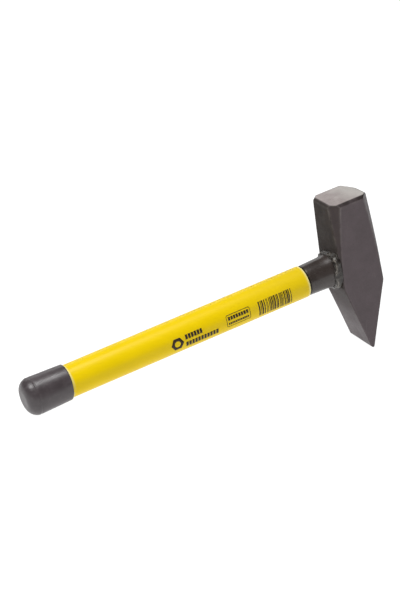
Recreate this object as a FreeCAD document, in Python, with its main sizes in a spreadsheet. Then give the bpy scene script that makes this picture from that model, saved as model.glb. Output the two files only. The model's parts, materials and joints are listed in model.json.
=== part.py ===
import FreeCAD, Part
import math
import os
import Sketcher

# A cross-peen hammer with a welded tube handle, a plastic sleeve and a soft end cap.
#
# The pieces are drawn about the handle: its axis is X and crosses the head's middle at x = 0,
# the grip is towards -X, the striking face is up (+Z) and the peen is down (-Z). One placement,
# shared by every piece, then stands the hammer on its peen and its cap, as it rests on a floor.

SIZES = {
    # head
    "FaceWidth": 36.2,            # striking end, along the handle
    "EyeWidth": 37.8,             # widest place, along the handle
    "HeadThickness": 34.0,        # cheek to cheek
    "FaceHeight": 60.9,           # handle axis to the middle of the striking face
    "FaceCrown": 0.5,             # how much lower the face is at the middle of its edges
    "BevelHeight": 3.1,           # middle of the striking face to the bevel's lower edge
    "BevelInset": 2.1,
    "CornerLeg": 6.8,             # corner facet of the poll, at the bevel's lower edge
    "FacetEnd": 9.0,              # height above the handle axis where the facets run out
    "GripCrease": 13.0,           # depth below the axis where the wedge starts, grip side
    "FarCrease": 18.5,            # the same, on the side away from the grip
    "PeenApex": 79.1,             # depth below the axis where the wedge's two sides would meet
    "PeenShift": 0.6,             # how far the peen lies towards the grip
    "PeenRadius": 2.0,
    "SocketDepth": 14.0,          # blind socket for the tube, from the head's grip side
    # handle
    "TubeDiameter": 25.0,
    "NeckDiameter": 26.8,         # the tube swells to this between the sleeve and the head
    "TubeWall": 2.0,
    "TubeEnd": 287.7,             # distances along the handle are taken from the head's middle
    "SleeveWall": 0.6,
    "SleeveStart": 46.3,
    "SleeveEnd": 285.7,
    "WeldLeg": 3.5,
    "WeldRoot": 3.0,              # how far the weld's blank reaches in behind the head's side
    # end cap
    "CapMouth": 259.9,
    "CapEnd": 296.6,
    "CapMouthDiameter": 28.6,
    "CapEndDiameter": 31.0,       # where the tapered side would meet the end
    "CapRounding": 9.0,
}

ALONG_X = FreeCAD.Rotation(FreeCAD.Vector(0, 1, 0), 90)
Z_AXIS = FreeCAD.Vector(0, 0, 1)
BELOW_PEEN = 5.0                  # how far the frustums that trim the head run past its peen


class Size:
    """A length known both as a number and as the sheet expression that drives it."""

    def __init__(self, value, text):
        self.value = float(value)
        self.text = text

    def joined(self, sign, other, value):
        other_text = other.text if isinstance(other, Size) else repr(float(other))
        return Size(value, "(%s %s %s)" % (self.text, sign, other_text))

    def __add__(self, other):
        return self.joined("+", other, self.value + number(other))

    def __sub__(self, other):
        return self.joined("-", other, self.value - number(other))

    def __mul__(self, other):
        return self.joined("*", other, self.value * number(other))

    def __truediv__(self, other):
        return self.joined("/", other, self.value / number(other))

    def __neg__(self):
        return self * -1.0


def number(size):
    return size.value if isinstance(size, Size) else float(size)


def make_sheet(doc):
    """Writes the driving dimensions and returns them as Size objects, by name."""
    sheet = doc.addObject("Spreadsheet::Sheet", "Dims")
    for row, (name, value) in enumerate(SIZES.items(), start=1):
        sheet.set("A%d" % row, name)
        sheet.set("B%d" % row, str(value))
        sheet.setAlias("B%d" % row, name)
    doc.recompute()
    return {name: Size(value, "Dims.%s" % name) for name, value in SIZES.items()}


def bind(item, **sizes):
    """Ties properties of a document object to sheet expressions."""
    for prop, size in sizes.items():
        item.setExpression(prop, size.text)


def rod(doc, name, start, length, diameter):
    """A cylinder on the handle's axis, from x = start in the +X direction."""
    item = doc.addObject("Part::Cylinder", name)
    item.Placement = FreeCAD.Placement(FreeCAD.Vector(), ALONG_X)
    item.setExpression("Placement.Base.x", start.text)
    bind(item, Radius=diameter / 2, Height=length)
    return item


def frustum(doc, name, bottom, top, turn):
    """A four-sided frustum about Z; bottom and top are (height, half width X, half width Y)."""
    item = doc.addObject("Part::Wedge", name)
    upright = FreeCAD.Rotation(FreeCAD.Vector(1, 0, 0), 90)
    item.Placement = FreeCAD.Placement(FreeCAD.Vector(), FreeCAD.Rotation(Z_AXIS, turn) * upright)
    bind(item, Ymin=bottom[0], Xmin=-bottom[1], Xmax=bottom[1], Zmin=-bottom[2], Zmax=bottom[2])
    bind(item, Ymax=top[0], X2min=-top[1], X2max=top[1], Z2min=-top[2], Z2max=top[2])
    return item


def boolean(doc, kind, name, base, tool):
    item = doc.addObject("Part::" + kind, name)
    item.Base = base
    item.Tool = tool
    return item


def outline_sketch(body, name, points):
    """A closed outline of straight edges in the body's XZ plane, every point held by Sizes."""
    sketch = body.newObject("Sketcher::SketchObject", name)
    plane = next(item for item in body.Origin.OriginFeatures if item.Role == "XZ_Plane")
    sketch.AttachmentSupport = [(plane, "")]
    sketch.MapMode = "FlatFace"
    corners = [FreeCAD.Vector(number(x), number(z), 0) for x, z in points]
    count = len(points)
    for index in range(count):
        sketch.addGeometry(Part.LineSegment(corners[index], corners[(index + 1) % count]), False)
    for index in range(count):
        joint = Sketcher.Constraint("Coincident", index, 2, (index + 1) % count, 1)
        sketch.addConstraint(joint)
    for index, (x, z) in enumerate(points):
        hold_coordinate(sketch, index, "DistanceX", -2, x)
        hold_coordinate(sketch, index, "DistanceY", -1, z)
    return sketch


def hold_coordinate(sketch, edge, kind, axis, size):
    """Holds one coordinate of an edge's first point: on the sketch's axis, or at a distance."""
    if not isinstance(size, Size):
        sketch.addConstraint(Sketcher.Constraint("PointOnObject", edge, 1, axis))
        return
    ends = (-1, 1, edge, 1) if size.value > 0 else (edge, 1, -1, 1)
    distance = size if size.value > 0 else -size
    index = sketch.addConstraint(Sketcher.Constraint(kind, *ends, distance.value))
    sketch.setExpression("Constraints[%d]" % index, distance.text)


def round_edge(doc, body, base, name, radius, chosen):
    """Fillets the one edge of base for which chosen(edge) is smallest."""
    doc.recompute()
    edges = base.Shape.Edges
    best = min(range(len(edges)), key=lambda index: chosen(edges[index]))
    fillet = body.newObject("PartDesign::Fillet", name)
    fillet.Base = (base, ["Edge%d" % (best + 1)])
    bind(fillet, Radius=radius)
    return fillet


def head_side_points(d):
    """The head's side outline; it runs past the striking face, which other cuts then shape."""
    half_face = d["FaceWidth"] / 2
    half_eye = d["EyeWidth"] / 2
    top = d["FaceHeight"]
    return [
        (-half_face, top),
        (-half_eye, -d["GripCrease"]),
        (-d["PeenShift"], -d["PeenApex"]),
        (half_eye, -d["FarCrease"]),
        (half_face, top),
    ]


def make_head_form(doc, d):
    """The forged head without its socket."""
    body = doc.addObject("PartDesign::Body", "HeadProfile")
    sketch = outline_sketch(body, "HeadSide", head_side_points(d))
    pad = body.newObject("PartDesign::Pad", "HeadPad")
    pad.Profile = sketch
    pad.SideType = "Symmetric"
    bind(pad, Length=d["HeadThickness"])
    round_edge(doc, body, pad, "PeenRounding", d["PeenRadius"],
               lambda edge: edge.BoundBox.ZMax)

    half_x = d["FaceWidth"] / 2
    half_y = d["HeadThickness"] / 2
    bottom = -d["PeenApex"] - BELOW_PEEN
    bevel_foot = d["FaceHeight"] - d["BevelHeight"]

    # The bevel round the face: four planes that widen downwards and touch nothing below the face.
    bevel_slope = d["BevelInset"] / (d["BevelHeight"] - d["FaceCrown"])
    face_inset = bevel_slope * d["BevelHeight"]
    bottom_spread = bevel_slope * (bevel_foot - bottom)
    bevel = frustum(doc, "FaceBevel",
                    (bottom, half_x + bottom_spread, half_y + bottom_spread),
                    (d["FaceHeight"], half_x - face_inset, half_y - face_inset), 0)

    # The corner facets: the same idea turned by 45 degrees, each plane leaning out downwards
    # until it leaves the corner at the facets' end.
    diagonal = math.sqrt(2)
    facet_at_foot = (half_x + half_y - d["CornerLeg"]) / diagonal
    facet_at_end = (half_x + half_y) / diagonal
    facet_slope = (facet_at_end - facet_at_foot) / (bevel_foot - d["FacetEnd"])
    facet_top = facet_at_foot - facet_slope * d["BevelHeight"]
    facet_bottom = facet_at_foot + facet_slope * (bevel_foot - bottom)
    corners = frustum(doc, "CornerFacets", (bottom, facet_bottom, facet_bottom),
                      (d["FaceHeight"], facet_top, facet_top), 45)

    # The crown of the striking face is part of a large sphere that holds the rest of the head.
    reach = half_x - d["BevelInset"]
    crown_radius = (reach * reach + d["FaceCrown"] * d["FaceCrown"]) / (d["FaceCrown"] * 2)
    crown = doc.addObject("Part::Sphere", "FaceCrownBall")
    bind(crown, Radius=crown_radius)
    crown.setExpression("Placement.Base.z", (d["FaceHeight"] - crown_radius).text)

    form = doc.addObject("Part::MultiCommon", "HeadForm")
    form.Shapes = [body, bevel, corners, crown]
    return form


def make_head(doc, d, form, socket_floor):
    socket = rod(doc, "Socket", -d["EyeWidth"], socket_floor + d["EyeWidth"], d["NeckDiameter"])
    return boolean(doc, "Cut", "head", form, socket)


def make_tube_outside(doc, d, socket_floor):
    """The tube's outer form: a plain rod, a neck that swells towards the head, and a spigot."""
    side = -d["EyeWidth"] / 2
    plain = rod(doc, "TubePlain", -d["TubeEnd"], d["TubeEnd"] - d["SleeveStart"], d["TubeDiameter"])
    neck = doc.addObject("Part::Cone", "TubeNeck")
    neck.Placement = FreeCAD.Placement(FreeCAD.Vector(), ALONG_X)
    neck.setExpression("Placement.Base.x", (-d["SleeveStart"]).text)
    bind(neck, Radius1=d["TubeDiameter"] / 2, Radius2=d["NeckDiameter"] / 2,
         Height=side + d["SleeveStart"])
    spigot = rod(doc, "TubeSpigot", side, d["SocketDepth"], d["NeckDiameter"])
    outside = doc.addObject("Part::MultiFuse", "TubeOutside")
    outside.Shapes = [plain, neck, spigot]
    return outside


def make_weld(doc, d, form, tube_outside):
    """The fillet weld round the tube: a cone on a short root, less the head and the tube."""
    side = -d["EyeWidth"] / 2
    cone = doc.addObject("Part::Cone", "WeldCone")
    cone.Placement = FreeCAD.Placement(FreeCAD.Vector(), ALONG_X)
    cone.setExpression("Placement.Base.x", (side - d["WeldLeg"]).text)
    foot = d["NeckDiameter"] / 2 + d["WeldLeg"]
    bind(cone, Radius1=d["TubeDiameter"] / 2, Radius2=foot, Height=d["WeldLeg"])
    root = rod(doc, "WeldRoot", side, d["WeldRoot"], foot * 2)
    blank = boolean(doc, "Fuse", "WeldBlank", cone, root)
    outside_head = boolean(doc, "Cut", "WeldOutsideHead", blank, form)
    return boolean(doc, "Cut", "weld_bead", outside_head, tube_outside)


def make_cap(doc, d):
    """The end cap: a tapered cup turned about the handle's axis, closed and rounded at -X."""
    bore = d["TubeDiameter"] / 2 + d["SleeveWall"]
    body = doc.addObject("PartDesign::Body", "end_cap")
    sketch = outline_sketch(body, "CapProfile", [
        (-d["CapMouth"], bore),
        (-d["CapMouth"], d["CapMouthDiameter"] / 2),
        (-d["CapEnd"], d["CapEndDiameter"] / 2),
        (-d["CapEnd"], 0),
        (-d["TubeEnd"], 0),
        (-d["TubeEnd"], bore),
    ])
    turned = body.newObject("PartDesign::Revolution", "CapTurned")
    turned.Profile = sketch
    turned.ReferenceAxis = (sketch, ["H_Axis"])
    turned.Angle = 360
    round_edge(doc, body, turned, "CapEndRounding", d["CapRounding"],
               lambda edge: (round(edge.BoundBox.XMax), -edge.BoundBox.ZLength))
    return body


def rounding_centre(before, corner, after, radius):
    """Centre of the arc that rounds an outline's corner; each point is (x, z)."""
    sides = []
    for end in (before, after):
        length = math.hypot(end[0] - corner[0], end[1] - corner[1])
        sides.append(((end[0] - corner[0]) / length, (end[1] - corner[1]) / length))
    middle = (sides[0][0] + sides[1][0], sides[0][1] + sides[1][1])
    half_angle = math.acos(math.hypot(*middle) / 2)
    reach = radius / math.sin(half_angle) / math.hypot(*middle)
    return (corner[0] + middle[0] * reach, corner[1] + middle[1] * reach)


def rest_tilt(d):
    """Slope, in degrees, of the floor under the peen's rounding and the cap's rounding."""
    side = [(number(x), number(z)) for x, z in head_side_points(d)]
    peen = rounding_centre(side[1], side[2], side[3], d["PeenRadius"].value)
    end = -d["CapEnd"].value
    cap = rounding_centre((-d["CapMouth"].value, -d["CapMouthDiameter"].value / 2),
                          (end, -d["CapEndDiameter"].value / 2),
                          (end, 0.0), d["CapRounding"].value)
    across = peen[0] - cap[0]
    up = peen[1] - cap[1]
    wider = d["CapRounding"].value - d["PeenRadius"].value
    return math.degrees(math.atan2(up, across) + math.asin(wider / math.hypot(across, up)))


def stand_on_floor(doc, pieces, tilt):
    """Gives every piece the one placement that rests the hammer at z = 0, centred on X."""
    turn = FreeCAD.Rotation(FreeCAD.Vector(0, 1, 0), tilt)
    for piece in pieces:
        piece.Placement = FreeCAD.Placement(FreeCAD.Vector(), turn)
    doc.recompute()
    box = FreeCAD.BoundBox()
    for piece in pieces:
        box.add(piece.Shape.optimalBoundingBox(False))
    shift = FreeCAD.Vector(-(box.XMin + box.XMax) / 2, -(box.YMin + box.YMax) / 2, -box.ZMin)
    for piece in pieces:
        piece.Placement = FreeCAD.Placement(shift, turn)
    doc.recompute()
    print("rest tilt %.3f degrees, shift %.3f %.3f %.3f" % (tilt, shift.x, shift.y, shift.z))


def check_and_export(doc, pieces):
    for item in doc.Objects:
        if "Invalid" in item.State or "Error" in item.State:
            raise RuntimeError("%s failed: %s" % (item.Name, item.State))
    for piece in pieces:
        shape = piece.Shape
        if shape.isNull() or not shape.isValid():
            raise RuntimeError("%s has no valid shape" % piece.Label)
        if len(shape.Solids) != 1:
            raise RuntimeError("%s is %d solids" % (piece.Label, len(shape.Solids)))
    os.makedirs("parts", exist_ok=True)
    for piece in pieces:
        piece.Shape.exportStep("parts/%s.step" % piece.Label)
        size = piece.Shape.optimalBoundingBox(False)
        print("%-12s %9.1f mm3  %6.2f x %6.2f x %6.2f mm"
              % (piece.Label, piece.Shape.Volume, size.XLength, size.YLength, size.ZLength))


def main():
    doc = FreeCAD.newDocument("Hammer")
    d = make_sheet(doc)

    # The tube stands in the head's blind socket and ends inside the cap.
    socket_floor = -d["EyeWidth"] / 2 + d["SocketDepth"]
    tube_outside = make_tube_outside(doc, d, socket_floor)
    bore = d["TubeDiameter"] - d["TubeWall"] * 2
    tube_inside = rod(doc, "TubeInside", -d["TubeEnd"], d["TubeEnd"] + socket_floor, bore)
    pipe = boolean(doc, "Cut", "handle_pipe", tube_outside, tube_inside)

    sleeve_length = d["SleeveEnd"] - d["SleeveStart"]
    sleeve_diameter = d["TubeDiameter"] + d["SleeveWall"] * 2
    sleeve_outside = rod(doc, "SleeveOutside", -d["SleeveEnd"], sleeve_length, sleeve_diameter)
    sleeve = boolean(doc, "Cut", "grip_sleeve", sleeve_outside, tube_outside)

    form = make_head_form(doc, d)
    head = make_head(doc, d, form, socket_floor)
    weld = make_weld(doc, d, form, tube_outside)
    cap = make_cap(doc, d)

    pieces = [head, pipe, weld, sleeve, cap]
    doc.recompute()
    stand_on_floor(doc, pieces, rest_tilt(d))
    check_and_export(doc, pieces)


main()
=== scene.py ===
import json
import math
import random
from collections import namedtuple

import bpy
import numpy as np
from mathutils import Matrix, Vector, noise


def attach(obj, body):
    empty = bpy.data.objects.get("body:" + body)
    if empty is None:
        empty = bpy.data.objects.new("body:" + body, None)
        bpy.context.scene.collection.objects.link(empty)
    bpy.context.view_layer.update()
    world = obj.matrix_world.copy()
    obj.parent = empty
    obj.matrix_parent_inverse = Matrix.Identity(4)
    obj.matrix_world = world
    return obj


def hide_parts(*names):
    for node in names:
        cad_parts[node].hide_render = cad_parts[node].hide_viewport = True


# The hammer's look. Shapes are worked out in millimetres in the hammer's own axes: X runs along the
# handle (grip towards -X, head at x = 0), Y is across and the striking face looks up along Z.
# HammerFrame turns them into the row frame, in metres. Lengths are in mm unless a comment says
# otherwise, and the constants for places along the handle are distances from the head's middle.

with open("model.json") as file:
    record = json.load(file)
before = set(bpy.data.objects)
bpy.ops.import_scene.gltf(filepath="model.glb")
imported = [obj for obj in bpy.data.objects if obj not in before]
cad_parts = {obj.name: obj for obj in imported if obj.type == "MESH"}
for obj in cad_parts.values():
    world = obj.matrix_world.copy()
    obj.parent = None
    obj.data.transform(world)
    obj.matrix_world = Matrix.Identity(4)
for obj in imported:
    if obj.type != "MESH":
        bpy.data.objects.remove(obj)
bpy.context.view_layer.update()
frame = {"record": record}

MM = 0.001

# Head
FACE_WIDTH = 36.2
EYE_WIDTH = 37.8
HEAD_THICKNESS = 34.0
FACE_HEIGHT = 60.9
FACE_CROWN = 0.5
BEVEL_HEIGHT = 3.1
BEVEL_INSET = 2.1
GRIP_CREASE = 13.0            # how far down the wedge starts, on the grip side and the far side
FAR_CREASE = 18.5
PEEN_APEX = 79.1              # where the wedge's sides would meet, and how far that is off centre
PEEN_SHIFT = 0.6
PEEN_RADIUS = 2.0
# Handle
TUBE_DIAMETER = 25.0
NECK_DIAMETER = 26.8
TUBE_WALL = 2.0
TUBE_END = 287.7
SLEEVE_START = 46.3
SLEEVE_END = 285.7
SLEEVE_WALL = 0.6
WELD_LEG = 3.5
CAP_MOUTH = 259.9
CAP_END = 296.6
CAP_MOUTH_DIAMETER = 28.6
CAP_END_DIAMETER = 31.0
CAP_ROUNDING = 9.0
MOUTH_SLANT = 0.08            # slope of the cap's mouth

SLEEVE_RADIUS = TUBE_DIAMETER / 2 + SLEEVE_WALL
HEAD_SIDE = -EYE_WIDTH / 2    # the side of the head that the tube meets


class HammerFrame:
    """The hammer's own axes in the row frame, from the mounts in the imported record."""

    def __init__(self, record):
        mounts = {mount["name"]: mount for mount in record["mounts"]}
        near = np.array(mounts["cheek_near"]["pos_m"])
        far = np.array(mounts["cheek_far"]["pos_m"])
        along = np.array(mounts["grip"]["axis"], float)
        up = np.array(mounts["face"]["axis"], float)
        self.origin = (near + far) / 2
        self.axes = np.array([along, np.cross(up, along), up])

    def place(self, points):
        return np.asarray(points, float) @ self.axes * MM + self.origin


HAMMER = HammerFrame(frame["record"])


# ---------------------------------------------------------------------------------------------
# Mesh helpers
# ---------------------------------------------------------------------------------------------

def grid_faces(rows, columns, wrap_rows=False, wrap_columns=True, first=0):
    """Quads of a grid whose points are numbered row by row from first."""
    faces = []
    for row in range(rows if wrap_rows else rows - 1):
        for column in range(columns if wrap_columns else columns - 1):
            after = (row + 1) % rows
            beside = (column + 1) % columns
            faces.append((first + row * columns + column, first + row * columns + beside,
                          first + after * columns + beside, first + after * columns + column))
    return faces


def make_piece(name, points, faces, material, replaces=None):
    """A smooth piece from points in the hammer's axes, in mm; it rides on the only body."""
    mesh = bpy.data.meshes.new(name)
    mesh.from_pydata(HAMMER.place(points).tolist(), [], faces)
    mesh.validate()
    for polygon in mesh.polygons:
        polygon.use_smooth = True
    piece = bpy.data.objects.new(name, mesh)
    bpy.context.scene.collection.objects.link(piece)
    mesh.materials.append(material)
    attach(piece, "root")
    if replaces:
        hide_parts(replaces)
    return piece


def weld_close_points(points, faces, distance=0.01):
    """Merges points that lie together and drops the faces that this closes up."""
    keys = {}
    index = []
    kept = []
    for point in np.round(np.asarray(points) / distance).astype(int):
        key = tuple(point)
        if key not in keys:
            keys[key] = len(kept)
            kept.append(len(index))
        index.append(keys[key])
    merged = []
    for face in faces:
        corners = []
        for corner in face:
            if index[corner] not in corners:
                corners.append(index[corner])
        if len(corners) > 2:
            merged.append(tuple(corners))
    return kept, merged


def facing_out(points, faces):
    """The faces of one closed shell, turned round if they look inwards."""
    corners = [(face[0], *pair) for face in faces for pair in zip(face[1:], face[2:])]
    first, second, third = np.asarray(points, float)[np.array(corners)].transpose(1, 0, 2)
    volume = np.einsum("ij,ij->", first, np.cross(second, third))
    return faces if volume > 0 else [face[::-1] for face in faces]


def corner_arc(before, corner, after, rounding, step):
    """Points of the arc that rounds a corner, given the corners before and after it."""
    to_before = before - corner
    to_after = after - corner
    to_before /= np.linalg.norm(to_before)
    to_after /= np.linalg.norm(to_after)
    half = math.acos(np.clip(to_before @ to_after, -1, 1)) / 2
    middle = (to_before + to_after) / np.linalg.norm(to_before + to_after)
    centre = corner + middle * rounding / math.sin(half)
    start = corner + to_before * rounding / math.tan(half) - centre
    end = corner + to_after * rounding / math.tan(half) - centre
    turn = math.pi - 2 * half
    spin = math.sin(turn)
    pieces = max(3, math.ceil(turn * rounding / step))
    arc = []
    for piece in range(pieces + 1):
        share = piece / pieces
        arc.append(centre + start * math.sin((1 - share) * turn) / spin
                   + end * math.sin(share * turn) / spin)
    return arc


def rounded_line(corners, step):
    """A line through (x, r, rounding) corners, with arcs at them and points every step."""
    places = np.array([corner[:2] for corner in corners], float)
    arcs = []
    for number, (_, _, rounding) in enumerate(corners):
        if rounding > 0 and 0 < number < len(corners) - 1:
            arcs.append(corner_arc(*places[number - 1:number + 2], rounding, step))
        else:
            arcs.append([places[number]])
    points = [arcs[0][-1]]
    for arc in arcs[1:]:
        start = points[-1]
        gap = arc[0] - start
        pieces = max(1, math.ceil(np.linalg.norm(gap) / step))
        points.extend(start + gap * piece / pieces for piece in range(1, pieces + 1))
        points.extend(arc[1:])
    return np.array(points)


def revolve(line, around):
    """Points and faces of an (x, r) line turned about the handle's axis."""
    angles = np.linspace(0, 2 * math.pi, around, endpoint=False)
    points = [(x, -r * math.cos(angle), r * math.sin(angle)) for x, r in line for angle in angles]
    kept, faces = weld_close_points(points, grid_faces(len(line), around))
    points = np.array(points)[kept]
    return points, facing_out(points, faces)


def ripple(points, layers, seed):
    """For each point, a sum of noises from 0 to 1 times height; layers are (size, height)."""
    total = np.zeros(len(points))
    for number, (size, height) in enumerate(layers):
        shift = Vector((seed, number * 7.3, seed * 0.37))
        for index, point in enumerate(points):
            total[index] += height * (0.5 + 0.5 * noise.noise(Vector(point) / size + shift))
    return total


# ---------------------------------------------------------------------------------------------
# Materials
# ---------------------------------------------------------------------------------------------

class Surface:
    """A Principled material built from nodes in the object's own coordinates."""

    def __init__(self, name):
        self.material = bpy.data.materials.new(name)
        self.material.use_nodes = True
        self.tree = self.material.node_tree
        self.shader = next(n for n in self.tree.nodes if n.type == "BSDF_PRINCIPLED")
        self.coordinates = self.tree.nodes.new("ShaderNodeTexCoord").outputs["Object"]

    def put(self, socket, value):
        """Links an output to the socket, or sets the socket to a plain value."""
        if hasattr(value, "is_output"):
            self.tree.links.new(value, socket)
        elif value is not None:
            socket.default_value = value

    def node(self, kind, output=0, settings=None, **inputs):
        """A node with its settings and inputs, of which one output is returned."""
        made = self.tree.nodes.new(kind)
        for key, value in (settings or {}).items():
            setattr(made, key, value)
        for key, value in inputs.items():
            self.put(made.inputs[key], value)
        return made.outputs[output]

    def noise(self, size_mm, detail=3.0, roughness=0.5, stretch=None):
        """Noise of about the given size; a stretch below 1 draws it out along that axis."""
        vector = self.coordinates
        if stretch:
            vector = self.node("ShaderNodeMapping", Vector=vector, Scale=stretch)
        return self.node("ShaderNodeTexNoise", "Fac", Vector=vector, Scale=1 / (size_mm * MM),
                         Detail=detail, Roughness=roughness)

    def ramp(self, value, low, high, start=0.0, end=1.0):
        """value from low..high mapped to start..end."""
        return self.node("ShaderNodeMapRange", **{"Value": value, "From Min": low, "From Max": high,
                                                  "To Min": start, "To Max": end})

    def math(self, operation, first, second):
        made = self.tree.nodes.new("ShaderNodeMath")
        made.operation = operation
        self.put(made.inputs[0], first)
        self.put(made.inputs[1], second)
        return made.outputs[0]

    def mix(self, share, first, second):
        """Colours mixed: all first where share is 0, all second where it is 1."""
        made = self.tree.nodes.new("ShaderNodeMix")
        made.data_type = "RGBA"
        self.put(made.inputs[0], share)
        for socket, colour in ((made.inputs[6], first), (made.inputs[7], second)):
            self.put(socket, colour if hasattr(colour, "is_output") else (*colour, 1.0))
        return made.outputs[2]

    def attribute(self, name):
        """A value that write_attribute has put on the piece's points."""
        return self.node("ShaderNodeAttribute", "Fac", {"attribute_name": name})

    def bump(self, height, strength, distance_mm, below=None):
        """A bumped normal, on top of the one below if that is given."""
        made = self.tree.nodes.new("ShaderNodeBump")
        made.inputs["Strength"].default_value = strength
        made.inputs["Distance"].default_value = distance_mm * MM
        self.put(made.inputs["Height"], height)
        if below is not None:
            self.put(made.inputs["Normal"], below)
        return made.outputs["Normal"]

    def finish(self, **inputs):
        """Fills the shader's own sockets and returns the material."""
        for key, value in inputs.items():
            name = key.replace("_", " ")
            if isinstance(value, tuple):
                value = (*value, 1.0)
            self.put(self.shader.inputs[name], value)
        return self.material


# Colours in linear red, green and blue. A pair is the darkest and the palest patch.
PAINT = (0.060, 0.041, 0.046), (0.083, 0.060, 0.067)
PAINT_GRAIN = (0.085, 0.072, 0.075)
GRIP_SIDE_SHADE = (0.010, 0.005, 0.003), (0.022, 0.013, 0.009)
SPECK = (0.022, 0.018, 0.016)
WORN_AND_HIGHLIGHT = (0.15, 0.135, 0.125), (0.27, 0.25, 0.235)
BEVEL_SHADE = (0.020, 0.015, 0.014)
STEEL = (0.25, 0.212, 0.206), (0.37, 0.33, 0.315)
STEEL_BRUSHED = (0.20, 0.165, 0.155)
STEEL_SHEEN = (0.46, 0.445, 0.415)
TUBE_BLACK = (0.033, 0.0255, 0.0225), (0.046, 0.0365, 0.033)
TUBE_SCUFF = (0.11, 0.1, 0.095)
GAP_SHADE = (0.012, 0.010, 0.001)
WELD_BLACK = (0.012, 0.009, 0.008), (0.036, 0.031, 0.026)
WELD_HIGHLIGHT = (0.30, 0.27, 0.235)
YELLOW = (0.755, 0.535, 0.001), (0.815, 0.58, 0.002)
YELLOW_GRIME = (0.42, 0.27, 0.02)
YELLOW_SHADE = (0.46, 0.36, 0.03)
YELLOW_LIP = (0.80, 0.74, 0.36)
INK = (0.018, 0.010, 0.003), (0.045, 0.026, 0.008)
CAP_BLACK = (0.050, 0.040, 0.043), (0.066, 0.054, 0.058)
CAP_DUST = (0.13, 0.118, 0.118)


def forged_colour(s, cloud, grain, painted_shade):
    """The head's paint, with painted shade towards the grip, specks, worn edges that are partly a
    painted highlight, scratches and a bevel painted dark as shade.
    """
    streak = s.noise(5, detail=4, roughness=0.6, stretch=(1.0, 1.0, 0.3))
    specks = s.ramp(s.noise(0.9, detail=2), 0.62, 0.74)
    base = s.mix(s.ramp(cloud, 0.32, 0.68), *PAINT)
    base = s.mix(s.ramp(grain, 0.4, 0.8, 0.0, 0.3), base, PAINT_GRAIN)
    # Painted shade: the side towards the grip, and the wedge's top below the weld, are painted
    # darker.
    base = s.mix(painted_shade, base, s.mix(s.ramp(streak, 0.35, 0.7), *GRIP_SIDE_SHADE))
    base = s.mix(s.math("MULTIPLY", specks, 0.35), base, SPECK)
    # Paler edges: partly wear through the paint, partly a painted highlight along them.
    patches = s.ramp(s.noise(6, detail=6, roughness=0.6), 0.35, 0.62)
    edge = s.math("MULTIPLY", s.attribute("edge"), patches)
    scratch = s.ramp(s.noise(2.2, detail=6, roughness=0.75, stretch=(1.0, 1.0, 0.22)), 0.60, 0.70)
    wear = s.math("MAXIMUM", edge, s.math("MULTIPLY", scratch, 0.35))
    worn = s.mix(s.ramp(grain, 0.35, 0.7), *WORN_AND_HIGHLIGHT)
    base = s.mix(s.math("MULTIPLY", wear, 0.42), base, worn)
    # Painted shade: the bevel is painted dark, darkest away from the grip.
    bevel = s.math("MULTIPLY", s.attribute("bevel"), s.ramp(cloud, 0.3, 0.6, 0.9, 0.5))
    return s.mix(bevel, base, BEVEL_SHADE)


def face_colour(s):
    """Bare steel, brushed along the handle, with a painted sheen that makes it brighter away from
    the grip.
    """
    steel = s.mix(s.ramp(s.noise(7, detail=5, roughness=0.6), 0.3, 0.7), *STEEL)
    brushed = s.noise(1.0, detail=4, roughness=0.6, stretch=(0.12, 0.9, 1.0))
    steel = s.mix(s.ramp(brushed, 0.42, 0.70, 0.0, 0.5), steel, STEEL_BRUSHED)
    return s.mix(s.math("MULTIPLY", s.attribute("rim"), 0.7), steel, STEEL_SHEEN)


def head_paint():
    s = Surface("head_paint")
    cloud = s.noise(11, detail=4, roughness=0.55)
    grain = s.noise(1.3, detail=5, roughness=0.65)
    painted_shade = s.attribute("painted_shade")
    base = s.mix(s.attribute("face"), forged_colour(s, cloud, grain, painted_shade), face_colour(s))
    roughness = s.ramp(cloud, 0.3, 0.7, 0.38, 0.5)
    roughness = s.math("ADD", roughness, s.ramp(grain, 0.3, 0.8, -0.05, 0.12))
    roughness = s.math("ADD", roughness, s.math("MULTIPLY", painted_shade, 0.3))
    height = s.math("ADD", s.math("MULTIPLY", cloud, 0.6), s.math("MULTIPLY", grain, 0.4))
    normal = s.bump(height, 0.55, 0.25)
    normal = s.bump(s.noise(0.55, detail=3), 0.35, 0.06, below=normal)
    return s.finish(Base_Color=base, Roughness=roughness, Normal=normal, Specular_IOR_Level=0.45)


def tube_paint():
    """Glossy black paint, scuffed along the handle, with painted shade in the gap at the sleeve's
    end.
    """
    s = Surface("tube_paint")
    cloud = s.noise(9, detail=3)
    grain = s.noise(1.1, detail=4, roughness=0.6)
    scuff = s.ramp(s.noise(3.0, detail=6, roughness=0.7, stretch=(0.35, 1.0, 1.0)), 0.6, 0.75)
    base = s.mix(s.ramp(cloud, 0.3, 0.7), *TUBE_BLACK)
    base = s.mix(s.math("MULTIPLY", scuff, 0.3), base, TUBE_SCUFF)
    base = s.mix(s.attribute("gap"), base, GAP_SHADE)
    roughness = s.math("ADD", s.ramp(cloud, 0.3, 0.7, 0.24, 0.32), s.math("MULTIPLY", scuff, 0.12))
    normal = s.bump(cloud, 0.2, 0.15)
    normal = s.bump(grain, 0.3, 0.05, below=normal)
    return s.finish(Base_Color=base, Roughness=roughness, Normal=normal, Specular_IOR_Level=0.50)


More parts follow.
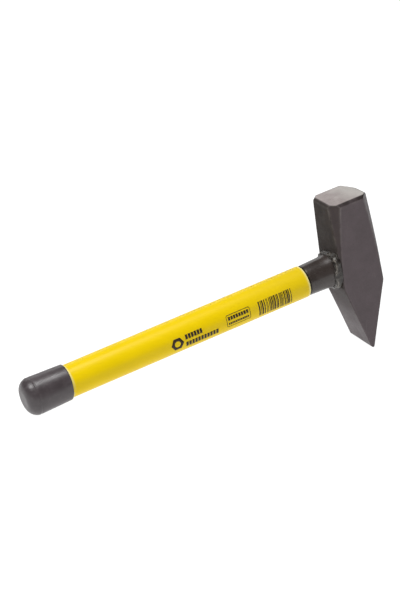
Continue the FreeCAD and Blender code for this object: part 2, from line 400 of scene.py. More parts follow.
def weld_paint():
    """Black paint, with a painted highlight on the crests of the bead."""
    s = Surface("weld_paint")
    cloud = s.noise(4, detail=4)
    grain = s.noise(0.8, detail=4, roughness=0.6)
    base = s.mix(s.ramp(cloud, 0.3, 0.7), *WELD_BLACK)
    crest_highlight = s.math("MULTIPLY", s.attribute("edge"), s.ramp(grain, 0.3, 0.65))
    base = s.mix(s.math("MULTIPLY", crest_highlight, 0.9), base, WELD_HIGHLIGHT)
    roughness = s.ramp(grain, 0.3, 0.7, 0.22, 0.38)
    normal = s.bump(s.math("ADD", s.math("MULTIPLY", cloud, 0.5), grain), 0.45, 0.12)
    return s.finish(Base_Color=base, Roughness=roughness, Normal=normal)


def sleeve_plastic():
    """Yellow plastic with faint grime, painted shade towards the head, and paler at its lips."""
    s = Surface("sleeve_plastic")
    cloud = s.noise(26, detail=3, stretch=(0.4, 1.0, 1.0))
    peel = s.noise(2.2, detail=2)
    grime = s.ramp(s.noise(5, detail=6, roughness=0.7, stretch=(0.5, 1.0, 1.0)), 0.58, 0.8)
    shade_share = s.math("MULTIPLY", s.attribute("painted_shade"), s.ramp(cloud, 0.2, 0.8, 0.14, 0.28))
    base = s.mix(s.ramp(cloud, 0.3, 0.7), *YELLOW)
    base = s.mix(s.math("MULTIPLY", grime, 0.16), base, YELLOW_GRIME)
    # Painted shade: the sleeve is darker towards the head.
    base = s.mix(shade_share, base, YELLOW_SHADE)
    base = s.mix(s.math("MULTIPLY", s.attribute("edge"), 0.8), base, YELLOW_LIP)
    roughness = s.math("ADD", s.ramp(cloud, 0.3, 0.7, 0.30, 0.38), s.math("MULTIPLY", grime, 0.15))
    normal = s.bump(peel, 0.2, 0.03)
    normal = s.bump(cloud, 0.4, 0.4, below=normal)
    return s.finish(Base_Color=base, Roughness=roughness, Normal=normal, Specular_IOR_Level=0.15)


def print_ink():
    """Patchy black ink."""
    s = Surface("print_ink")
    patchy = s.noise(1.6, detail=5, roughness=0.65)
    base = s.mix(s.ramp(patchy, 0.35, 0.7), *INK)
    roughness = s.ramp(patchy, 0.3, 0.7, 0.3, 0.5)
    normal = s.bump(patchy, 0.3, 0.02)
    return s.finish(Base_Color=base, Roughness=roughness, Normal=normal, Specular_IOR_Level=0.25)


def cap_rubber():
    """Soft black plastic with a little dust."""
    s = Surface("cap_rubber")
    cloud = s.noise(8, detail=4)
    grain = s.noise(0.7, detail=3, roughness=0.6)
    dust = s.ramp(s.noise(4, detail=6, roughness=0.7), 0.5, 0.8)
    base = s.mix(s.ramp(cloud, 0.3, 0.7), *CAP_BLACK)
    base = s.mix(s.math("MULTIPLY", dust, 0.25), base, CAP_DUST)
    roughness = s.math("ADD", s.ramp(cloud, 0.3, 0.7, 0.33, 0.41), s.math("MULTIPLY", dust, 0.12))
    normal = s.bump(grain, 0.3, 0.04)
    normal = s.bump(cloud, 0.3, 0.25, below=normal)
    return s.finish(Base_Color=base, Roughness=roughness, Normal=normal, Specular_IOR_Level=0.6)


# ---------------------------------------------------------------------------------------------
# Head: rings from the middle of the striking face, down the body, to the peen's edge
# ---------------------------------------------------------------------------------------------

# Points on each cheek, on each side between the cheeks, and across each corner facet
CHEEK_POINTS = 52
SIDE_POINTS = 48
FACET_POINTS = 12
# Rings on each part, from the striking face down
FACE_RINGS = 22
BEVEL_RINGS = 6
BODY_RINGS = 100
WEDGE_RINGS = 92
TIP_RINGS = 8
FACE, BEVEL, BODY = range(3)
# Corner legs at the face's rim and at the bevel's foot; the facets were ground by hand and differ.
# Order: grip side near, far side near, far side far, grip side far (near is -Y).
RIM_LEGS = np.array((3.7, 2.6, 7.0, 3.2))
FOOT_LEGS = np.array((7.8, 7.2, 8.0, 4.4))
EDGE_LEG = 0.9                # what is left of the corner facets once they have run out
THIN_LEGS = np.full(4, EDGE_LEG)
LEG_LIMIT = 0.45              # a leg is at most this share of half a ring
FAR_SKEW = 1.7                # the corner far from both the grip and -Y is cut longer along Y
FACET_FALL = 1.8              # how fast the facets narrow below the bevel
GRIP_RIM_INSET = 1.4          # the bevel is narrower on the side towards the grip
FACE_ROLL = 0.20              # how far the face's outermost part rolls over, below the crown
ROLL_START = 0.86             # where that starts, as a share of the way out
EDGE_RISE = 0.22              # mm that a point on a full edge lies outside its neighbours
# The rim is beaten down away from the grip: how far, where along X and Y, and over what distance
RIM_WEAR = 0.8
WEAR_FROM_X = 7
WEAR_OVER_X = 9
WEAR_AT_Y = 3
WEAR_OVER_Y = 9
# Dents as (size, depth) layers, and how much shallower they are on the face
HEAD_DENTS = ((16, 0.22), (5, 0.10), (1.6, 0.045))
FACE_CALM = 0.4

HALF_FACE = FACE_WIDTH / 2
HALF_EYE = EYE_WIDTH / 2
HALF_THICK = HEAD_THICKNESS / 2
BEVEL_FOOT = FACE_HEIGHT - BEVEL_HEIGHT
RIM_Z = FACE_HEIGHT - FACE_CROWN - FACE_ROLL
RIM_Y = HALF_THICK - BEVEL_INSET
GRIP_RIM = HALF_FACE - GRIP_RIM_INSET
FAR_RIM = HALF_FACE - BEVEL_INSET

# One ring of the head: (x, z) on the grip side and on the far side, half its thickness, its four
# corner legs, and the part it lies on
Ring = namedtuple("Ring", "grip far half_y legs part")


def shares(count):
    """Equal steps from 0 up to, but not including, 1."""
    return [number / count for number in range(count)]


def peen_circle():
    """Centre of the peen's rounding and where it meets the wedge's grip and far sides."""
    apex = np.array((-PEEN_SHIFT, -PEEN_APEX))
    grip = np.array((-HALF_EYE, -GRIP_CREASE)) - apex
    far = np.array((HALF_EYE, -FAR_CREASE)) - apex
    grip /= np.linalg.norm(grip)
    far /= np.linalg.norm(far)
    half = math.acos(grip @ far) / 2
    middle = (grip + far) / np.linalg.norm(grip + far)
    centre = apex + middle * PEEN_RADIUS / math.sin(half)
    reach = PEEN_RADIUS / math.tan(half)
    return centre, apex + grip * reach, apex + far * reach


def face_rings():
    """From the middle of the striking face, over its crown, to its rim."""
    rings = []
    for share in shares(FACE_RINGS):
        roll = max(0.0, (share - ROLL_START) / (1 - ROLL_START))
        z = FACE_HEIGHT - FACE_CROWN * share * share - FACE_ROLL * roll * roll
        rings.append(Ring((-GRIP_RIM * share, z), (FAR_RIM * share, z), RIM_Y * share,
                          RIM_LEGS * share, FACE))
    return rings


def bevel_rings():
    """From the rim to the bevel's foot."""
    rings = []
    for share in shares(BEVEL_RINGS):
        z = RIM_Z + (BEVEL_FOOT - RIM_Z) * share
        legs = RIM_LEGS + (FOOT_LEGS - RIM_LEGS) * share
        rings.append(Ring((-GRIP_RIM - GRIP_RIM_INSET * share, z),
                          (FAR_RIM + BEVEL_INSET * share, z),
                          RIM_Y + BEVEL_INSET * share, legs, BEVEL))
    return rings


def body_rings():
    """From the bevel's foot to the creases where the wedge starts."""
    slope_grip = (EYE_WIDTH - FACE_WIDTH) / 2 / (FACE_HEIGHT + GRIP_CREASE)
    slope_far = (EYE_WIDTH - FACE_WIDTH) / 2 / (FACE_HEIGHT + FAR_CREASE)
    rings = []
    for share in shares(BODY_RINGS):
        grip_z = BEVEL_FOOT + (-GRIP_CREASE - BEVEL_FOOT) * share
        far_z = BEVEL_FOOT + (-FAR_CREASE - BEVEL_FOOT) * share
        grip_x = -HALF_FACE - slope_grip * (FACE_HEIGHT - grip_z)
        far_x = HALF_FACE + slope_far * (FACE_HEIGHT - far_z)
        legs = EDGE_LEG + (FOOT_LEGS - EDGE_LEG) * (1 - share) ** FACET_FALL
        rings.append(Ring((grip_x, grip_z), (far_x, far_z), HALF_THICK, legs, BODY))
    return rings


def wedge_rings():
    """From the creases down to the peen's rounding."""
    _, grip_end, far_end = peen_circle()
    grip_start = np.array((-HALF_EYE, -GRIP_CREASE))
    far_start = np.array((HALF_EYE, -FAR_CREASE))
    return [Ring(grip_start + (grip_end - grip_start) * share,
                 far_start + (far_end - far_start) * share, HALF_THICK, THIN_LEGS, BODY)
            for share in shares(WEDGE_RINGS)]


def tip_rings():
    """Round the peen's edge from both sides, down to its lowest line."""
    centre, grip_end, far_end = peen_circle()
    low = -math.pi / 2
    grip_start = math.atan2(*(grip_end - centre)[::-1]) % (2 * math.pi) - 2 * math.pi
    far_start = math.atan2(*(far_end - centre)[::-1])
    rings = []
    for share in (*shares(TIP_RINGS), 1.0):
        ends = []
        for start in (grip_start, far_start):
            angle = start + (low - start) * share
            ends.append(centre + PEEN_RADIUS * np.array((math.cos(angle), math.sin(angle))))
        rings.append(Ring(*ends, HALF_THICK, THIN_LEGS, BODY))
    return rings


def head_ring_points(grip, far, half_y, legs):
    """The octagon of one ring, with the same number of points on every ring."""
    grip = np.array(grip, float)
    far = np.array(far, float)
    half = np.linalg.norm(far - grip) / 2
    a, b, c, d = np.minimum(legs, half * LEG_LIMIT)
    corners = [(-half + a, -half_y), (half - b, -half_y),
               (half, -half_y + b), (half, half_y - c * FAR_SKEW),
               (half - c, half_y), (-half + d, half_y),
               (-half, half_y - d), (-half, -half_y + a)]
    counts = [CHEEK_POINTS, FACET_POINTS, SIDE_POINTS, FACET_POINTS] * 2
    middle = (grip + far) / 2
    along = (far - grip) / (2 * half) if half > 1e-6 else np.array((1.0, 0.0))
    points = []
    for number, count in enumerate(counts):
        start = np.array(corners[number])
        end = np.array(corners[(number + 1) % len(corners)])
        for step in range(count):
            u, y = start + (end - start) * step / count
            x, z = middle + along * u
            points.append((x, y, z))
    return points


def soften(grid, rounds):
    """Averages each grid point with its neighbours, which rounds the edges; columns wrap."""
    for _ in range(rounds):
        beside = (np.roll(grid, 1, axis=1) + np.roll(grid, -1, axis=1)) / 2
        above = grid.copy()
        above[1:-1] = (grid[:-2] + grid[2:]) / 2
        inner = (grid + beside + above) / 3
        inner[0] = grid[0]
        inner[-1] = grid[-1]
        grid = inner
    return grid


def edge_share(grid):
    """From 0 on flat places to 1 on convex edges: how far a point lies outside its neighbours."""
    total = np.zeros(grid.shape[:2])
    for reach in (1, 2):
        across = np.cross(np.roll(grid, -reach, axis=1) - np.roll(grid, reach, axis=1),
                          shifted(grid, reach) - shifted(grid, -reach))
        length = np.linalg.norm(across, axis=2)
        across /= np.where(length > 1e-9, length, 1)[..., None]
        mean = (np.roll(grid, reach, axis=1) + np.roll(grid, -reach, axis=1)
                + shifted(grid, reach) + shifted(grid, -reach)) / 4
        total += np.einsum("ijk,ijk->ij", grid - mean, across)
    if total.mean() < 0:
        total = -total
    return np.clip(total / EDGE_RISE, 0, 1)


def shifted(grid, rows):
    """The grid moved by some rows, its first or last row repeated."""
    index = np.clip(np.arange(len(grid)) + rows, 0, len(grid) - 1)
    return grid[index]


def rim_wear(x, y, z):
    """How far the face's rim is beaten down on the side away from the grip."""
    towards_rim = np.clip((x - WEAR_FROM_X) / WEAR_OVER_X, 0, 1) ** 2
    across = np.exp(-((y - WEAR_AT_Y) / WEAR_OVER_Y) ** 2)
    above_foot = np.clip((z - FACE_HEIGHT + BEVEL_HEIGHT) / (BEVEL_HEIGHT - FACE_CROWN), 0, 1)
    return RIM_WEAR * towards_rim * across * above_foot


def face_sheen(points):
    """Painted sheen: the striking face is brighter away from the grip."""
    return np.clip(0.35 + points[:, 0] / HALF_FACE, 0, 1)


def bevel_shade(outward):
    """Painted shade on the bevel: darkest away from the grip and palest towards it."""
    return 1 - np.clip(-1.2 * outward[:, 0], 0, 0.6)


def grip_side_shade(points, outward):
    """Painted shade on the side towards the grip: full on the body, fading down the wedge away from
    the weld. The same share also makes the paint rougher.
    """
    facing_grip = np.clip((-outward[:, 0] - 0.45) / 0.4, 0, 1)
    down = np.clip((-GRIP_CREASE - points[:, 2]) / (PEEN_APEX - GRIP_CREASE), 0, 1)
    on_body = points[:, 2] > -GRIP_CREASE
    return facing_grip * np.where(on_body, 1.0, 0.85 - 1.3 * down).clip(0, 1)


def make_head():
    """The forged head, in rings from the middle of the striking face to the peen's edge."""
    rings = face_rings() + bevel_rings() + body_rings() + wedge_rings() + tip_rings()
    sharp = np.array([head_ring_points(*ring[:4]) for ring in rings])
    soft = soften(sharp, rounds=2)
    soft[..., 2] -= rim_wear(*soft.transpose(2, 0, 1))
    edge = edge_share(soften(sharp, rounds=4)).reshape(-1)
    rows, columns = sharp.shape[:2]
    flat = soft.reshape(-1, 3)
    kept, faces = weld_close_points(flat, grid_faces(rows, columns))
    points = flat[kept]
    part = np.repeat([ring.part for ring in rings], columns)[kept]
    faces = facing_out(points, faces)
    outward = point_normals(points, faces)
    on_face = part == FACE
    dents = ripple(points, HEAD_DENTS, seed=3.1) * (1 - FACE_CALM * on_face)
    piece = make_piece("hammer_head", points - outward * dents[:, None], faces, head_paint(),
                       "head")
    write_attribute(piece, "edge", edge[kept])
    write_attribute(piece, "face", on_face)
    # Painted sheen: the face is brighter away from the grip.
    write_attribute(piece, "rim", face_sheen(points))
    write_attribute(piece, "bevel", (part == BEVEL) * bevel_shade(outward))
    write_attribute(piece, "painted_shade", grip_side_shade(points, outward))
    return piece


def point_normals(points, faces):
    """The outward direction at each point."""
    mesh = bpy.data.meshes.new("scratch")
    mesh.from_pydata(points.tolist(), [], faces)
    mesh.update()
    normals = np.zeros(len(points) * 3)
    mesh.vertices.foreach_get("normal", normals)
    bpy.data.meshes.remove(mesh)
    return normals.reshape(-1, 3)


def write_attribute(piece, name, values):
    """Puts one value on each point of a piece, for its material to read."""
    attribute = piece.data.attributes.new(name, "FLOAT", "POINT")
    attribute.data.foreach_set("value", np.asarray(values, np.float32))


# ---------------------------------------------------------------------------------------------
# Handle
# ---------------------------------------------------------------------------------------------

GAP_WIDTH = 1.1               # the dark gap between the sleeve's end and the neck's paint
GAP_DEPTH = 0.7
TUBE_ROUND = 0.4              # rounding of the tube's outer ends
PAINT_ROUND = 0.2             # rounding of the paint's edge beside the gap
PAINT_SLOPE = 0.5             # how far the paint's edge slopes along the tube
NECK_BEND = 27.0              # where the swell starts to flare into the weld
NECK_ROUND = 24
NECK_FLARE = 1.0
INTO_HEAD = 1.5               # how far the tube runs on inside the head
SLEEVE_GAP = 0.01             # between the sleeve's bore and the tube
LIP_ROUND = SLEEVE_WALL * 0.7
# The sleeve's pale lips: the distance over which each fades, and its width in those distances
NECK_FADE = 1.2
MOUTH_FADE = 0.9
LIP_FADES = 1.6
# The half of the sleeve towards the head is painted darker, as shade near the head: where that
# starts and over what distance
SHADE_FROM = 130
SHADE_OVER = 80
# Dents as (size, depth) layers
TUBE_DENTS = ((9, 0.07),)
SLEEVE_DENTS = ((22, 0.05), (6, 0.012))
CAP_DENTS = ((13, 0.16), (4, 0.05))
# The faint ring round the cap: its depth and width, and those of the swell beside it
RING_DEPTH = 0.36
RING_WIDTH = 0.55
RING_SWELL = 0.072
SWELL_WIDTH = 1.0
SWELL_AWAY = 1.5              # from the ring, towards the cap's end


def make_tube():
    """The painted tube: plain under the sleeve, swelling towards the head."""
    plain = TUBE_DIAMETER / 2
    neck = NECK_DIAMETER / 2
    bore = plain - TUBE_WALL
    inside_head = HEAD_SIDE + INTO_HEAD
    gap_end = -SLEEVE_START + GAP_WIDTH
    paint_end = gap_end + PAINT_SLOPE
    line = rounded_line([
        (-TUBE_END, bore, 0), (-TUBE_END, plain, TUBE_ROUND),
        (-SLEEVE_START - 1.0, plain, 0), (-SLEEVE_START - 0.8, plain - GAP_DEPTH, 0),
        (gap_end, plain - GAP_DEPTH, PAINT_ROUND), (paint_end, plain + 0.1, PAINT_ROUND),
        (-NECK_BEND, neck - 0.1, NECK_ROUND), (inside_head, neck + NECK_FLARE, TUBE_ROUND),
        (inside_head, bore, 0), (-TUBE_END, bore, 0)], step=1.0)
    points, faces = revolve(line, around=128)
    outward = point_normals(points, faces)
    points = points - outward * ripple(points, TUBE_DENTS, seed=5.7)[:, None]
    piece = make_piece("handle_tube", points, faces, tube_paint(), "handle_pipe")
    # Painted shade in the gap beside the sleeve's end.
    write_attribute(piece, "gap", np.clip((paint_end - points[:, 0]) / 0.4, 0, 1))
    return piece


def make_sleeve():
    """The plastic sleeve, with a rounded lip at each end."""
    inner = TUBE_DIAMETER / 2 + SLEEVE_GAP
    line = rounded_line([
        (-SLEEVE_START, inner, 0), (-SLEEVE_START, SLEEVE_RADIUS, LIP_ROUND),
        (-SLEEVE_END, SLEEVE_RADIUS, LIP_ROUND), (-SLEEVE_END, inner, 0),
        (-SLEEVE_START, inner, 0)], step=1.4)
    points, faces = revolve(line, around=144)
    outward = point_normals(points, faces)
    outer = np.hypot(points[:, 1], points[:, 2]) > SLEEVE_RADIUS - 0.05
    dents = ripple(points, SLEEVE_DENTS, seed=9.4) * outer
    points = points - outward * dents[:, None]
    piece = make_piece("grip_tube", points, faces, sleeve_plastic(),
                       "grip_sleeve")
    neck_lip = np.clip(LIP_FADES - (-SLEEVE_START - points[:, 0]) / NECK_FADE, 0, 1)
    past_cap = points[:, 0] + CAP_MOUTH - mouth_slant(points)
    mouth_lip = np.clip(LIP_FADES - past_cap / MOUTH_FADE, 0, 1) * (past_cap > 0)
    write_attribute(piece, "edge", np.maximum(neck_lip, mouth_lip))
    write_attribute(piece, "painted_shade", np.clip((points[:, 0] + SHADE_FROM) / SHADE_OVER, 0, 1))
    return piece


def mouth_slant(points):
    """How far each point is moved along the handle by the cap's mouth, which is askew."""
    near_mouth = np.clip((points[:, 0] + CAP_END) / (CAP_END - CAP_MOUTH), 0, 1) ** 2
    return near_mouth * MOUTH_SLANT * points[:, 2]


def make_cap():
    """The soft cap: a lip at the mouth, a slightly flared side, a faint ring, and a rounded end."""
    bore = SLEEVE_RADIUS
    mouth = CAP_MOUTH_DIAMETER / 2
    end = CAP_END_DIAMETER / 2
    inside_end = -TUBE_END + 1.0
    line = rounded_line([
        (inside_end, 0, 0), (inside_end, bore, 0), (-CAP_MOUTH, bore, 0.4),
        (-CAP_MOUTH, mouth, 0.7), (-CAP_END, end, CAP_ROUNDING), (-CAP_END, 0, 0)], step=0.5)
    x, r = line.T
    ring_at = -CAP_END + CAP_ROUNDING
    groove = RING_DEPTH * np.exp(-((x - ring_at) / RING_WIDTH) ** 2)
    swell = RING_SWELL * np.exp(-((x - ring_at + SWELL_AWAY) / SWELL_WIDTH) ** 2)
    outside = r > bore + 0.2
    line[:, 1] -= np.where(outside, groove - swell, 0)
    points, faces = revolve(line, around=128)
    points[:, 0] += mouth_slant(points)
    outward = point_normals(points, faces)
    points = points - outward * ripple(points, CAP_DENTS, seed=12.9)[:, None]
    return make_piece("grip_cap", points, faces, cap_rubber(), "end_cap")


# ---------------------------------------------------------------------------------------------
# Weld
# ---------------------------------------------------------------------------------------------

WELD_LAPS = 17
WELD_AROUND = 432
WELD_ACROSS = 30
# Angles in radians round the tube from -Y towards +Z, each with the width over which it fades
WELD_STOP = (math.radians(52), 0.42)     # where the bead was stopped, and reaches furthest up
WELD_THIN = (math.radians(100), 0.5)     # where the bead is thinnest
WELD_WIDE = (0.0, 0.9)                   # where it reaches furthest along the tube
# The bead's legs along the tube and up the head, and what is added to them at those places
LEG_ALONG = WELD_LEG + 0.5
LEG_UP = WELD_LEG - 0.6
STOP_ALONG, STOP_UP = -1.4, 4.6
THIN_ALONG, THIN_UP = -1.3, -0.9
WIDE_ALONG = 1.0
CROSS_POWER = 1.3             # the bead's section is round at 1 and flat at 2
LAP_BEND = 0.55               # how far each crescent bulges, in laps
LAP_POWER = 1.6               # the higher, the later each crescent rises
LAP_RISE = 0.26               # height of a crescent, as a share of the legs
RIDGE_RISE = 0.11             # height of the ridge along the bead, likewise
RIDGE_WIDTH = 0.09            # its width, as a share of the way across the bead
STOP_LUMPS = ((3.0, 2.5), (1.5, 0.8))    # noise layers as (size, height)
BEAD_LUMPS = ((2.8, 0.6), (0.8, 0.06))

# One section of the bead: its legs, its place in the laps, how strong they are, where across the
# bead its ridge runs and how bright its painted highlight is, and how close the section is to the
# stop
Section = namedtuple("Section", "leg_x leg_r lap strength ridge_at shine stop")


def weld_rough(angle, scale, seed):
    """Noise that runs smoothly round the weld."""
    return noise.noise(Vector((math.cos(angle) * scale, math.sin(angle) * scale, seed)))


def near_angle(angle, middle, width):
    """1 at one place round the weld, fading to 0 on both sides of it."""
    return math.exp(-(math.remainder(angle - middle, 2 * math.pi) / width) ** 2)


def weld_section(number, angle):
    """How the hand-laid bead varies round the tube."""
    stop = near_angle(angle, *WELD_STOP)
    thin = near_angle(angle, *WELD_THIN)
    wide = near_angle(angle, *WELD_WIDE)
    along = LEG_ALONG + 0.8 * weld_rough(angle, 1.7, 4.2)
    up = LEG_UP + 0.5 * weld_rough(angle, 2.3, 9.1)
    return Section(
        leg_x=along + STOP_ALONG * stop + THIN_ALONG * thin + WIDE_ALONG * wide,
        leg_r=up + STOP_UP * stop + THIN_UP * thin,
        lap=WELD_LAPS * number / WELD_AROUND + 0.9 * weld_rough(angle, 1.6, 1.3),
        strength=0.5 + 0.7 * weld_rough(angle, 2.6, 3.9),
        ridge_at=0.42 + 0.24 * weld_rough(angle, 2.1, 7.7),
        shine=np.clip(0.55 + 1.6 * weld_rough(angle, 3.1, 5.5), 0, 1),
        stop=stop)


def lap_height(lap, share):
    """The bead's laps: each is a crescent that rises slowly and drops off over the next one."""
    bent = lap + LAP_BEND * math.sin(math.pi * share)
    return (bent - math.floor(bent)) ** LAP_POWER


def weld_line(section, corner_r):
    """One section of the bead from the tube to the head, as (x, r, crest) points."""
    line = []
    for number in range(WELD_ACROSS + 1):
        share = number / WELD_ACROSS
        turn = share * math.pi / 2
        height = lap_height(section.lap, share)
        middle = math.sin(math.pi * min(1.0, share + 0.05))
        ridge = math.exp(-((share - section.ridge_at) / RIDGE_WIDTH) ** 2)
        laps = (LAP_RISE * height - LAP_RISE / 2) * section.strength * middle
        bulge = 1 + laps + RIDGE_RISE * ridge - 0.03
        x = HEAD_SIDE + 0.2 - section.leg_x * math.cos(turn) ** CROSS_POWER * bulge
        r = corner_r - 0.2 + section.leg_r * math.sin(turn) ** CROSS_POWER * bulge
        # Painted highlight on the tops of the crescents and on the ridge.
        crest_highlight = max(0.5 * np.clip(2.2 * height - 1.2, 0, 1) * middle, ridge * section.shine)
        line.append((x, r, crest_highlight))
    return line


def make_weld():
    """A hand-laid bead between tube and head: overlapping crescents and a lumpy stop on top."""
    corner_r = NECK_DIAMETER / 2 + 0.9
    root_x = HEAD_SIDE + 1.0
    points = []
    crest_highlights = []
    lumps = []
    for number in range(WELD_AROUND):
        angle = 2 * math.pi * number / WELD_AROUND
        section = weld_section(number, angle)
        line = weld_line(section, corner_r)
        lumps += [section.stop] * len(line) + [0, 0]
        # The bead's root, inside the head and the tube
        line += [(root_x, corner_r + section.leg_r, 0), (root_x, corner_r - 1.0, 0)]
        for x, r, crest_highlight in line:
            points.append((x, -r * math.cos(angle), r * math.sin(angle)))
            crest_highlights.append(crest_highlight)
    points = np.array(points)
    faces = facing_out(points, grid_faces(WELD_AROUND, WELD_ACROSS + 3, wrap_rows=True))
    rough = ripple(points, BEAD_LUMPS, seed=2.2) - 0.33
    rough += np.array(lumps) * (ripple(points, STOP_LUMPS, seed=8.8) - 1.8)
    points += point_normals(points, faces) * rough[:, None]
    flush = HEAD_THICKNESS / 2 - 0.1
    points[:, 1] = np.clip(points[:, 1], -flush, flush)
    piece = make_piece("weld_ring", points, faces, weld_paint(), "weld_bead")
    # The painted highlight goes to the material as its edge attribute.
    write_attribute(piece, "edge", crest_highlights)
    return piece


# ---------------------------------------------------------------------------------------------
# Printing on the sleeve: plain shapes in place of the maker's print
# ---------------------------------------------------------------------------------------------

INK_PROUD = 0.05
INK_SUNK = 0.10
INK_STEP = 0.9                # longest side of an ink facet round the sleeve
BLOCK_GAP = 0.24              # share of a block's pitch that is left blank
# Places are x along the handle and arc, which is measured round the sleeve, up from its -Y side.
NUT = (-168.7, -0.7)
NUT_OUTER = 5.6
NUT_HOLE = 2.6
BOX = (-124.2, -102.5, -4.9, 5.6)        # from x, to x, from arc, to arc
BOX_LINE = 0.45
BOX_ROUND = 1.6
BOX_ROUND_INSIDE = 1.2
BOX_STEPS = 4                 # pieces that each side of the box's outline is cut into
# Rows of blocks: from x, to x, arc of the row's middle, height, number of blocks
BLOCK_ROWS = (
    (-161.3, -146.2, 2.5, 4.0, 6),
    (-161.3, -132.3, -4.0, 4.4, 11),
    (-122.6, -104.2, 2.4, 3.0, 8),
    (-122.6, -104.2, -2.1, 1.9, 12),
)
BARS = (-94.7, -64.0, -7.2, 5.9)         # from x, to x, from arc, to arc
BAR_WIDTHS = (0.45, 0.6, 0.9, 1.2)
BAR_SPACES = (0.4, 0.55, 0.8, 1.1)
BAR_SEED = 41


def wrap(x, arc, radius):
    """A point of the print on the sleeve, in the hammer's axes."""
    angle = arc / SLEEVE_RADIUS
    return (x, -radius * math.cos(angle), radius * math.sin(angle))


def side_wall(loop, below):
    """Quads that join a loop of points to the same loop on the slab's underside."""
    return [(b, a, a + below, b + below) for a, b in zip(loop, loop[1:] + loop[:1])]


def ink(points, faces, grid, closed=False):
    """Adds one inked shape, a grid of (x, arc) points, as a thin slab bent round the sleeve."""
    rows = len(grid)
    columns = len(grid[0])
    below = rows * columns
    first = len(points)
    last = first + (rows - 1) * columns
    for radius in (SLEEVE_RADIUS + INK_PROUD, SLEEVE_RADIUS - INK_SUNK):
        for row in grid:
            points.extend(wrap(x, arc, radius) for x, arc in row)
    shell = grid_faces(rows, columns, False, closed, first)
    shell.extend([tuple(corner + below for corner in face[::-1]) for face in shell])
    start = list(range(first, first + columns))
    end = list(range(last, last + columns))[::-1]
    if closed:
        shell += side_wall(start, below) + side_wall(end, below)
    else:
        left = list(range(first, last + 1, columns))[::-1]
        right = list(range(first + columns - 1, last + columns, columns))
        shell += side_wall(start[:-1] + right[:-1] + end[:-1] + left[:-1], below)
    faces.extend(facing_out(points, shell))


def ink_block(points, faces, x0, x1, arc0, arc1):
    """A plain inked rectangle."""
    count = max(2, math.ceil((arc1 - arc0) / INK_STEP) + 1)
    grid = [[(x, arc0 + (arc1 - arc0) * c / (count - 1)) for c in range(count)] for x in (x0, x1)]
    ink(points, faces, grid)


def ink_row(points, faces, x0, x1, arc, height, blocks):
    """A row of equal plain blocks that fills x0..x1, in place of a line of text."""
    pitch = (x1 - x0) / (blocks - BLOCK_GAP)
    for number in range(blocks):
        x = x0 + pitch * number
        ink_block(points, faces, x, x + pitch * (1 - BLOCK_GAP), arc - height / 2, arc + height / 2)


def ring_outline(x, arc, radius, corners=0, count=48):
    """A circle, or with corners given a flat-sided outline of that many corners."""
    line = []
    for number in range(count):
        angle = 2 * math.pi * number / count
        reach = radius
        if corners:
            half = math.pi / corners
            reach *= math.cos(half) / math.cos(angle % (2 * half) - half)
        line.append((x + reach * math.cos(angle), arc + reach * math.sin(angle)))
    return line


def box_outline(x0, x1, arc0, arc1, radius, count=8):
    """A box with rounded corners, of count points each, and its sides cut into short pieces."""
    corners = ((x1 - radius, arc1 - radius), (x0 + radius, arc1 - radius),
               (x0 + radius, arc0 + radius), (x1 - radius, arc0 + radius))
    line = []
    for number, (x, arc) in enumerate(corners):
        for step in range(count):
            angle = math.pi / 2 * (number + step / (count - 1))
            line.append((x + radius * math.cos(angle), arc + radius * math.sin(angle)))
    dense = []
    for (x, arc), (next_x, next_arc) in zip(line, line[1:] + line[:1]):
        for step in range(BOX_STEPS):
            dense.append((x + (next_x - x) * step / BOX_STEPS,
                          arc + (next_arc - arc) * step / BOX_STEPS))
    return dense


def ink_bars(points, faces):
    """Bars of seeded widths and spaces, which code nothing."""
    draw = random.Random(BAR_SEED)
    x, end, arc0, arc1 = BARS
    while x < end:
        width = draw.choice(BAR_WIDTHS)
        ink_block(points, faces, x, x + width, arc0, arc1)
        x += width + draw.choice(BAR_SPACES)


def make_print():
    """A nut and two rows of blocks, a box with two rows in it, and bars."""
    points = []
    faces = []
    ink(points, faces, [ring_outline(*NUT, NUT_HOLE), ring_outline(*NUT, NUT_OUTER, corners=6)],
        closed=True)
    for row in BLOCK_ROWS[:2]:
        ink_row(points, faces, *row)
    x0, x1, arc0, arc1 = BOX
    inside = box_outline(x0 + BOX_LINE, x1 - BOX_LINE, arc0 + BOX_LINE, arc1 - BOX_LINE,
                         BOX_ROUND_INSIDE)
    ink(points, faces, [inside, box_outline(*BOX, BOX_ROUND)], closed=True)
    for row in BLOCK_ROWS[2:]:
        ink_row(points, faces, *row)
    ink_bars(points, faces)
    return make_piece("grip_print", np.array(points), faces, print_ink())


# ---------------------------------------------------------------------------------------------
# Stage, lights and camera
# ---------------------------------------------------------------------------------------------

# Here lengths are in metres, unless a name or comment says otherwise.
FLOOR_REACH = 60.0
FLOOR_RINGS = 16
FLOOR_FIRST_RING = 0.2
FLOOR_AROUND = 48
FLOOR_GLOW = 1.0              # the floor's own light, so that it stays white into the distance
FLOOR_GREY = (0.14, 0.14, 0.14), (0.16, 0.16, 0.16)
ROOM_LIGHT = 0.05

# Where a lamp stands, what it points at, its sides, its watts, and whether reflections show it
Lamp = namedtuple("Lamp", "name place target sides watts shines")
LAMPS = (
    Lamp("key", (-0.09, 0.0, 1.30), (-0.09, 0.0, 0.05), (0.24, 0.48), 6.7, True),
    Lamp("end", (-0.85, 0.05, 1.12), (-0.15, 0.0, 0.03), (0.44, 0.44), 9.5, True),
    Lamp("top", (-0.28, -0.22, 1.15), (0.0, 0.0, 0.05), (1.0, 0.9), 3.8, False),
    Lamp("fill", (0.35, -1.6, 0.5), (0.0, 0.0, 0.05), (1.0, 0.6), 4.6, False),
    Lamp("back", (0.3, 1.9, 0.9), (0.0, 0.0, 0.1), (1.8, 0.9), 7, True),
)

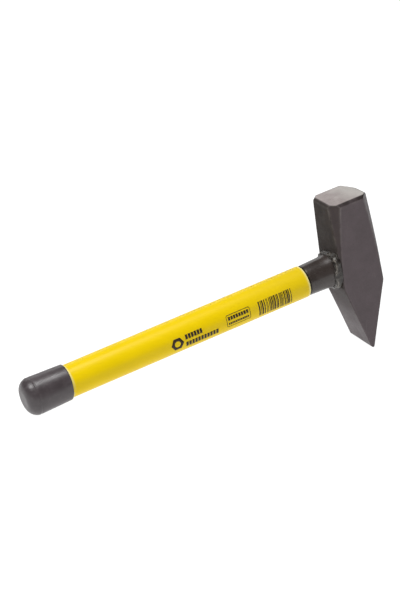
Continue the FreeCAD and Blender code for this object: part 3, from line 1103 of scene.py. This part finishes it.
# The camera, in the hammer's axes: mm and degrees; a turn of 0 looks along +Y
CAMERA_AIM = (-137.2, 0.0, 20.8)
CAMERA_TURN = -23.533
CAMERA_RISE = 27.371
CAMERA_ROLL = -11.499
CAMERA_DISTANCE = 1530.5
CAMERA_LENS = 117.61
CAMERA_SENSOR = 36.0


def make_floor():
    """A white floor that reaches past every view."""
    radii = (0.0, *np.geomspace(FLOOR_FIRST_RING, FLOOR_REACH, FLOOR_RINGS))
    points = []
    for radius in radii:
        for number in range(FLOOR_AROUND):
            angle = 2 * math.pi * number / FLOOR_AROUND
            points.append((radius * math.cos(angle), radius * math.sin(angle), 0.0))
    kept, faces = weld_close_points(points, grid_faces(len(radii), FLOOR_AROUND), 0.001)
    mesh = bpy.data.meshes.new("floor")
    mesh.from_pydata(np.array(points)[kept].tolist(), [], faces)
    floor = bpy.data.objects.new("floor", mesh)
    bpy.context.scene.collection.objects.link(floor)
    s = Surface("floor_white")
    shade = s.mix(s.noise(900, detail=2), *FLOOR_GREY)
    mesh.materials.append(s.finish(Base_Color=shade, Roughness=0.9, Specular_IOR_Level=0.1,
                                   Emission_Color=(1.0, 1.0, 1.0), Emission_Strength=FLOOR_GLOW))


def make_room():
    """A room that lights the hammer dimly, and is as white as the floor where it is seen."""
    world = bpy.data.worlds.new("room")
    world.use_nodes = True
    nodes, links = world.node_tree.nodes, world.node_tree.links
    background = nodes["Background"]
    background.inputs["Color"].default_value = (1.0, 1.0, 1.0, 1.0)
    strength = nodes.new("ShaderNodeMapRange")
    strength.inputs["To Min"].default_value = ROOM_LIGHT
    strength.inputs["To Max"].default_value = 1.0
    links.new(nodes.new("ShaderNodeLightPath").outputs["Is Camera Ray"], strength.inputs["Value"])
    links.new(strength.outputs["Result"], background.inputs["Strength"])
    bpy.context.scene.world = world


def make_lamp(lamp):
    light = bpy.data.lights.new(lamp.name, "AREA")
    light.shape = "RECTANGLE"
    light.size, light.size_y = lamp.sides
    light.energy = lamp.watts
    body = bpy.data.objects.new(lamp.name, light)
    body.location = lamp.place
    aim = Vector(lamp.target) - Vector(lamp.place)
    body.rotation_euler = aim.to_track_quat("-Z", "Y").to_euler()
    body.visible_glossy = lamp.shines
    bpy.context.scene.collection.objects.link(body)


def make_camera():
    turn = math.radians(CAMERA_TURN)
    rise = math.radians(CAMERA_RISE)
    roll = math.radians(CAMERA_ROLL)
    back = np.array((math.sin(turn) * math.cos(rise), -math.cos(turn) * math.cos(rise),
                     math.sin(rise)))
    level = np.cross((0, 0, 1), back)
    level /= np.linalg.norm(level)
    right = level * math.cos(roll) + np.cross(back, level) * math.sin(roll)
    turned = np.array((right, np.cross(back, right), back)) @ HAMMER.axes
    data = bpy.data.cameras.new("camera")
    data.sensor_fit = "VERTICAL"
    data.sensor_height = CAMERA_SENSOR
    data.lens = CAMERA_LENS
    data.clip_end = 50
    camera = bpy.data.objects.new("camera", data)
    place = Vector(HAMMER.place([CAMERA_AIM + back * CAMERA_DISTANCE])[0])
    turned = Matrix(turned.tolist()).transposed().to_4x4()
    camera.matrix_world = Matrix.Translation(place) @ turned
    bpy.context.scene.collection.objects.link(camera)
    bpy.context.scene.camera = camera


make_head()
make_tube()
make_weld()
make_sleeve()
make_print()
make_cap()
make_floor()
make_room()
for lamp in LAMPS:
    make_lamp(lamp)
make_camera()
bpy.context.scene.view_settings.view_transform = "Standard"

bpy.context.view_layer.update()
